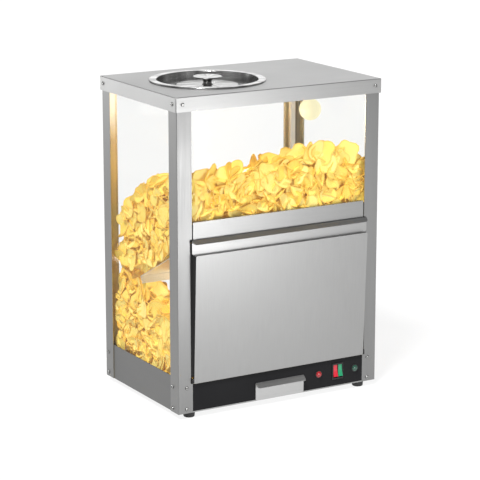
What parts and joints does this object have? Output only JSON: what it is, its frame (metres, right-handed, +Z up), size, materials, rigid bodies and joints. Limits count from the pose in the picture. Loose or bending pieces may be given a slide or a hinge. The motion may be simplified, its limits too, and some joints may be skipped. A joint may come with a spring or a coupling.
{
  "type": "countertop chip warmer",
  "caption": "Glazed steel countertop warmer: chips loaded through a lift-off lid slide down a shelf into a lit, heated bin with a drop-down door; crumb tray and rocker controls below.",
  "frame": {"origin": "middle of the cabinet's footprint and of its bounding box, on the surface that the rubber feet stand on", "axes": "+X towards the right-hand side of someone facing the door, +Y towards the rear, +Z up"},
  "size_m": [0.4712, 0.3394, 0.6449],
  "materials": {
    "cabinet_steel": "fine vertical brushing, satin",
    "inner_steel": "dull mill finish with light scratches",
    "polished_steel": "polished, with faint circular marks",
    "screw_steel": "plain zinc-plated",
    "clear_glass": "clear tempered, polished",
    "fascia_black": "semi-gloss black overlay",
    "black_plastic": "fine-grained matt",
    "switch_plastic": "fine-grained matt",
    "seal_rubber": "matt extrusion",
    "foot_rubber": "moulded, matt",
    "red_rocker": "translucent, moulded gloss",
    "green_rocker": "translucent, moulded gloss",
    "red_lens": "translucent lens, lit",
    "green_lens": "translucent lens, unlit",
    "lamp_glass": "frosted inside, lit warm yellow",
    "socket_ceramic": "unglazed off-white",
    "heater_sheath": "heat-tinted sheath",
    "control_body": "moulded phenolic"
  },
  "bodies": {
    "cabinet": {"base_pan": "cabinet_steel", "bin_floor": "inner_steel", "bulb": "lamp_glass", "cabinet_screws": "screw_steel", "chute_shelf": "inner_steel", "control_fascia": "fascia_black", "cord_gland": "black_plastic", "cover_screws": "screw_steel", "cover_spacers": "inner_steel", "door_seal": "seal_rubber", "element_clips": "inner_steel", "end_glass_channels": "inner_steel", "foot_front_left": "foot_rubber", "foot_front_right": "foot_rubber", "foot_rear_left": "foot_rubber", "foot_rear_right": "foot_rubber", "front_panel": "inner_steel", "front_rail": "cabinet_steel", "glass_front": "clear_glass", "glass_left": "clear_glass", "glass_rear": "clear_glass", "glass_right": "clear_glass", "heat_pilot_lens": "red_lens", "heating_element": "heater_sheath", "hinge_brackets": "black_plastic", "lamp_bracket": "inner_steel", "lamp_socket": "socket_ceramic", "magnet_catches": "black_plastic", "pilot_bodies": "black_plastic", "post_front_left": "cabinet_steel", "post_front_right": "cabinet_steel", "post_rear_left": "cabinet_steel", "post_rear_right": "cabinet_steel", "rail_brackets": "black_plastic", "ready_pilot_lens": "green_lens", "rear_panel": "cabinet_steel", "rocker_pin": "screw_steel", "shelf_brackets": "inner_steel", "side_glass_channels": "inner_steel", "side_panel_left": "cabinet_steel", "side_panel_right": "cabinet_steel", "switch_housing": "switch_plastic", "terminal_block": "socket_ceramic", "thermostat": "control_body", "top_cover": "cabinet_steel", "tray_runner_left": "inner_steel", "tray_runner_right": "inner_steel", "wire_channel": "inner_steel"},
    "door": {"door_outer_pan": "cabinet_steel", "door_inner_panel": "inner_steel", "door_edge_strips": "seal_rubber", "door_pull": "cabinet_steel", "hinge_pins": "screw_steel"},
    "tray": {"crumb_tray": "inner_steel", "tray_handle": "cabinet_steel"},
    "lid": {"lid": "polished_steel", "lid_knob": "polished_steel", "lid_screw": "screw_steel"},
    "heat_rocker": {"rocker_heat": "red_rocker"},
    "light_rocker": {"rocker_light": "green_rocker"}
  },
  "joints": [
    {"name": "door_hinge", "type": "hinge", "parent": "cabinet", "child": "door", "pos_m": [0, -0.1568, 0.0775], "axis": [1, 0, 0], "range_deg": [0, 90]},
    {"name": "crumb_tray_slide", "type": "slide", "parent": "cabinet", "child": "tray", "axis": [0, -1, 0], "range_m": [0, 0.2]},
    {"name": "lid_lift", "type": "slide", "parent": "cabinet", "child": "lid", "axis": [0, 0, 1], "range_m": [0, 0.12]},
    {"name": "rocker_heat_tilt", "type": "hinge", "parent": "cabinet", "child": "heat_rocker", "pos_m": [0.1324, -0.1512, 0.0446], "axis": [1, 0, 0], "range_deg": [0, 20]},
    {"name": "rocker_light_tilt", "type": "hinge", "parent": "cabinet", "child": "light_rocker", "pos_m": [0.1436, -0.1512, 0.0446], "axis": [1, 0, 0], "range_deg": [0, 20]}
  ]
}
